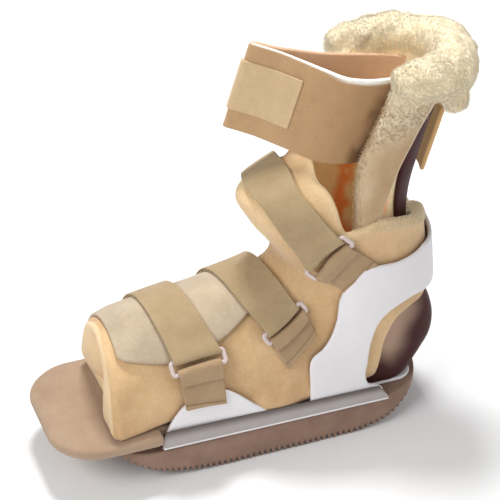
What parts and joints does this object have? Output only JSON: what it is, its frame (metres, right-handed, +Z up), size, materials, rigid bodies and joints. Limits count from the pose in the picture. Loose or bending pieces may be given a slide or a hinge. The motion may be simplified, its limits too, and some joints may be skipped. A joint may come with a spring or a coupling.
{
  "type": "pressure relief ankle foot orthosis",
  "caption": "Fleece-lined ankle foot orthosis with an open heel: rocker sole, toe plate, white shell, heel-bowing splint, foot straps through rings and a calf strap.",
  "frame": {"origin": "on the ground plane under the middle of the sole, on the flat underside of a tread rib", "axes": "+Z up; toes point to -Y; +X is the side that carries the strap rings"},
  "size_m": [0.1109, 0.3266, 0.2952],
  "materials": {
    "sole_rubber": "matte tan foam rubber",
    "plate_cover": "tan suede-like cover",
    "white_shell": "satin white sheet plastic",
    "grey_strip": "satin grey strip",
    "splint_plastic": "glossy dark maroon sheet",
    "liner_suede": "soft tan suede with cream pile inside",
    "flap_suede": "pale brushed suede",
    "fleece": "deep cream pile",
    "calf_webbing": "brushed tan loop cloth",
    "closure_cloth": "brushed pale tan cloth",
    "strap_webbing": "khaki loop webbing",
    "ring_plastic": "smooth pale moulded plastic"
  },
  "bodies": {
    "root": {"outsole": "sole_rubber", "toe_plate": "plate_cover", "foot_shell": "white_shell", "flange_near": "grey_strip", "flange_far": "grey_strip", "splint": "splint_plastic", "foot_liner": "liner_suede", "top_flap": "flap_suede", "calf_liner": "fleece", "calf_strap": "calf_webbing", "strap_back": "calf_webbing", "closure_tab": "closure_cloth", "toe_strap": "strap_webbing", "toe_anchor": "strap_webbing", "toe_ring": "ring_plastic", "instep_strap": "strap_webbing", "instep_anchor": "strap_webbing", "instep_ring": "ring_plastic", "ankle_strap": "strap_webbing", "ankle_anchor": "strap_webbing", "ankle_ring": "ring_plastic"}
  },
  "joints": []
}
